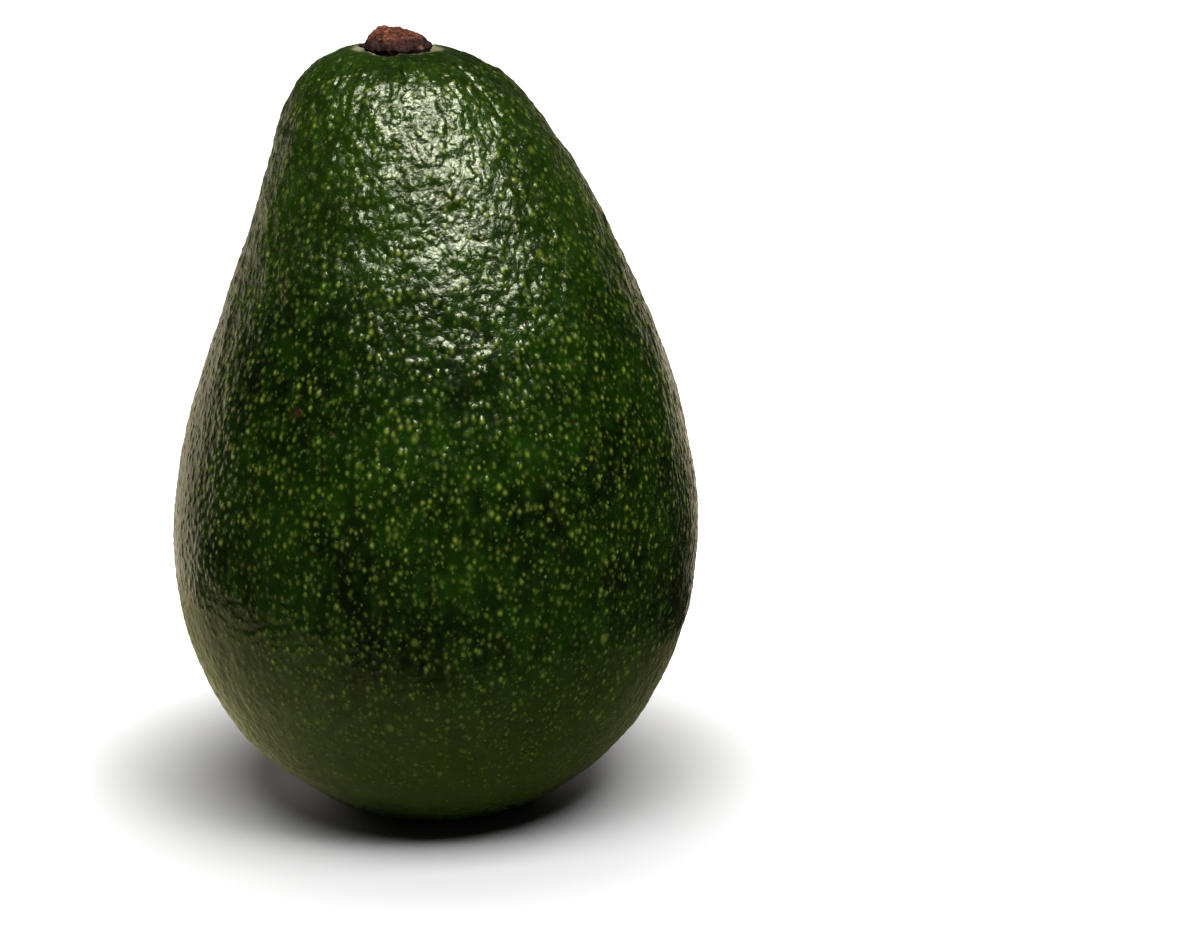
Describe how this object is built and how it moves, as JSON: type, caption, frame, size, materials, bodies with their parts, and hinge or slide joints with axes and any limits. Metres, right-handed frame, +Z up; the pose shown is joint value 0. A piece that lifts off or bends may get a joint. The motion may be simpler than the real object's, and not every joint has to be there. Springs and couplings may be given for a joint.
{
  "type": "avocado",
  "caption": "Whole pear-shaped avocado with glossy dark green, lime-speckled pebbled skin and a dry brown stalk stub, standing on a small flat spot under its broad end.",
  "frame": {"origin": "centre of the small flat spot under the broad end, on the surface that the fruit stands on", "axes": "+Z up, from the flat spot towards the stalk; -Y is the front; the neck bends slightly back towards -X"},
  "size_m": [0.0768, 0.0737, 0.1149],
  "materials": {
    "skin": "waxy, softly glossy green fruit skin with fine pebbling and pale lime specks",
    "stalk": "matt, dry, crumbly brown stalk"
  },
  "bodies": {
    "root": {"fruit": "skin", "stem_button": "stalk"}
  },
  "joints": []
}
